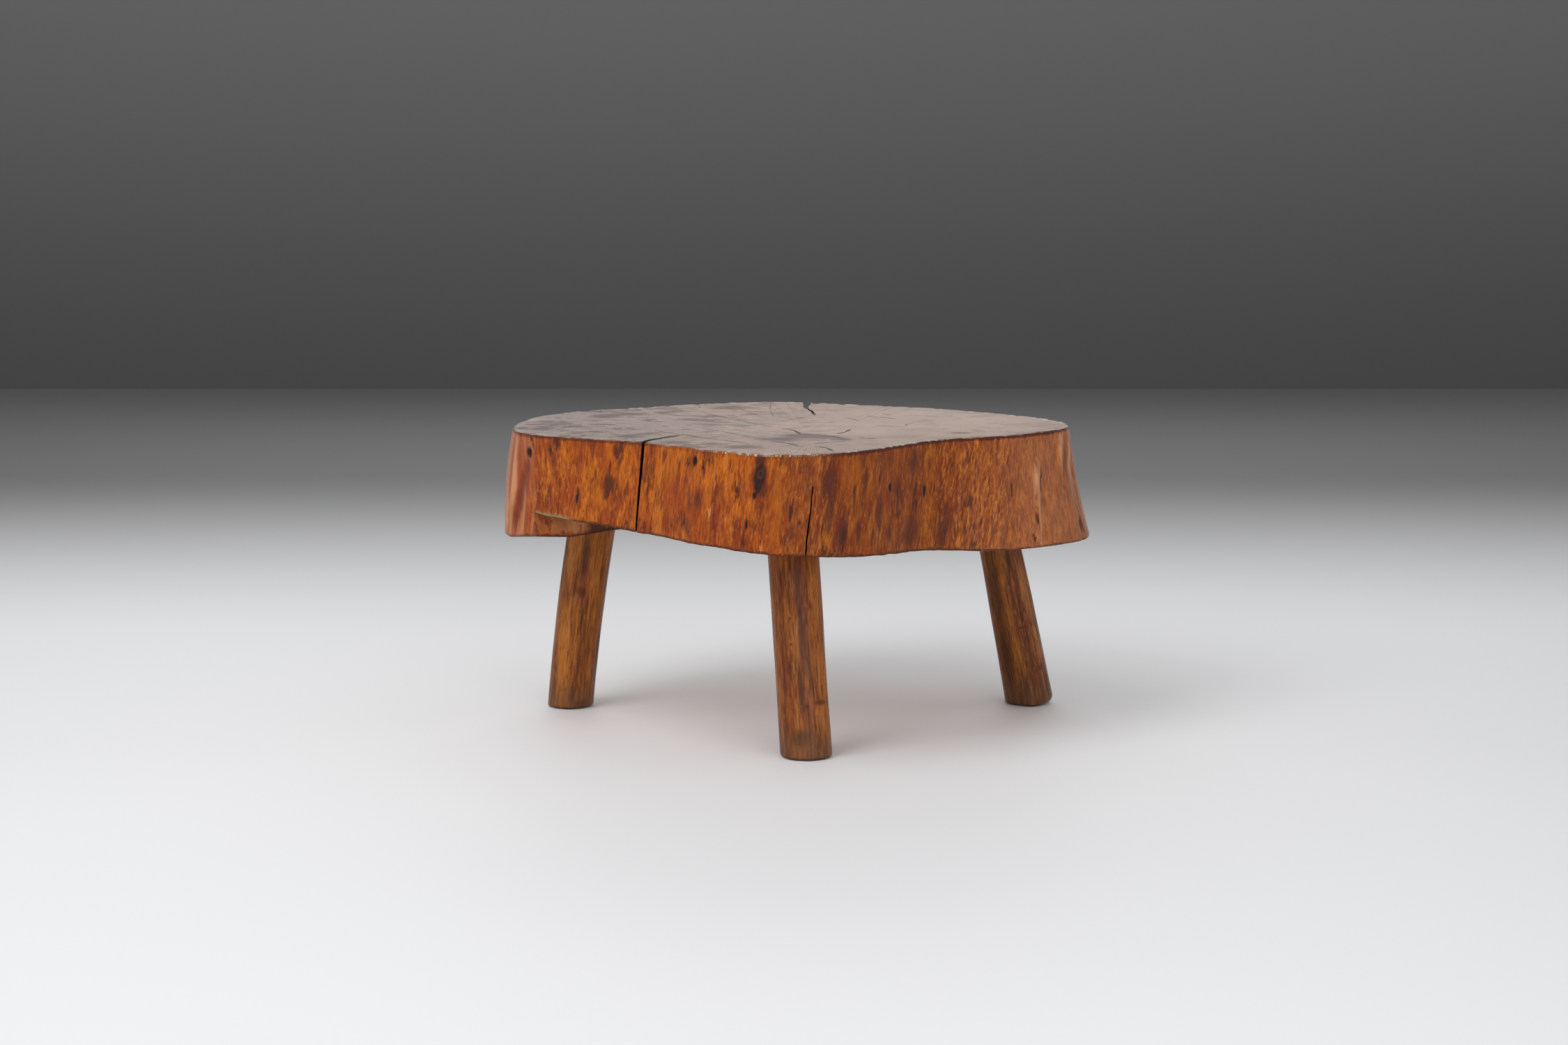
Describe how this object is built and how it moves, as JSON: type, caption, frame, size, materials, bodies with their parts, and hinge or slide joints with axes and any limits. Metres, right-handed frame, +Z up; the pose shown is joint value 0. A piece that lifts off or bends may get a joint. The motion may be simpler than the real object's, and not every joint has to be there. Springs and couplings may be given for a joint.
{
  "type": "low slab table",
  "caption": "Low rustic table: a thick live-edge slice of a tree trunk with a flat top, standing on splayed round pole legs tenoned into its underside.",
  "frame": {"origin": "on the floor, under the middle of the whole table", "axes": "+Z up, +X to the right along the longer side, +Y to the back, the single front leg towards -Y"},
  "size_m": [0.738, 0.6107, 0.378],
  "materials": {
    "trunk_slice": "varnished",
    "leg_pole": "oiled",
    "wedge_wood": "raw"
  },
  "bodies": {
    "root": {"tabletop_slab": "trunk_slice", "front_leg": "leg_pole", "left_leg": "leg_pole", "right_leg": "leg_pole", "front_wedge": "wedge_wood", "left_wedge": "wedge_wood", "right_wedge": "wedge_wood"}
  },
  "joints": []
}
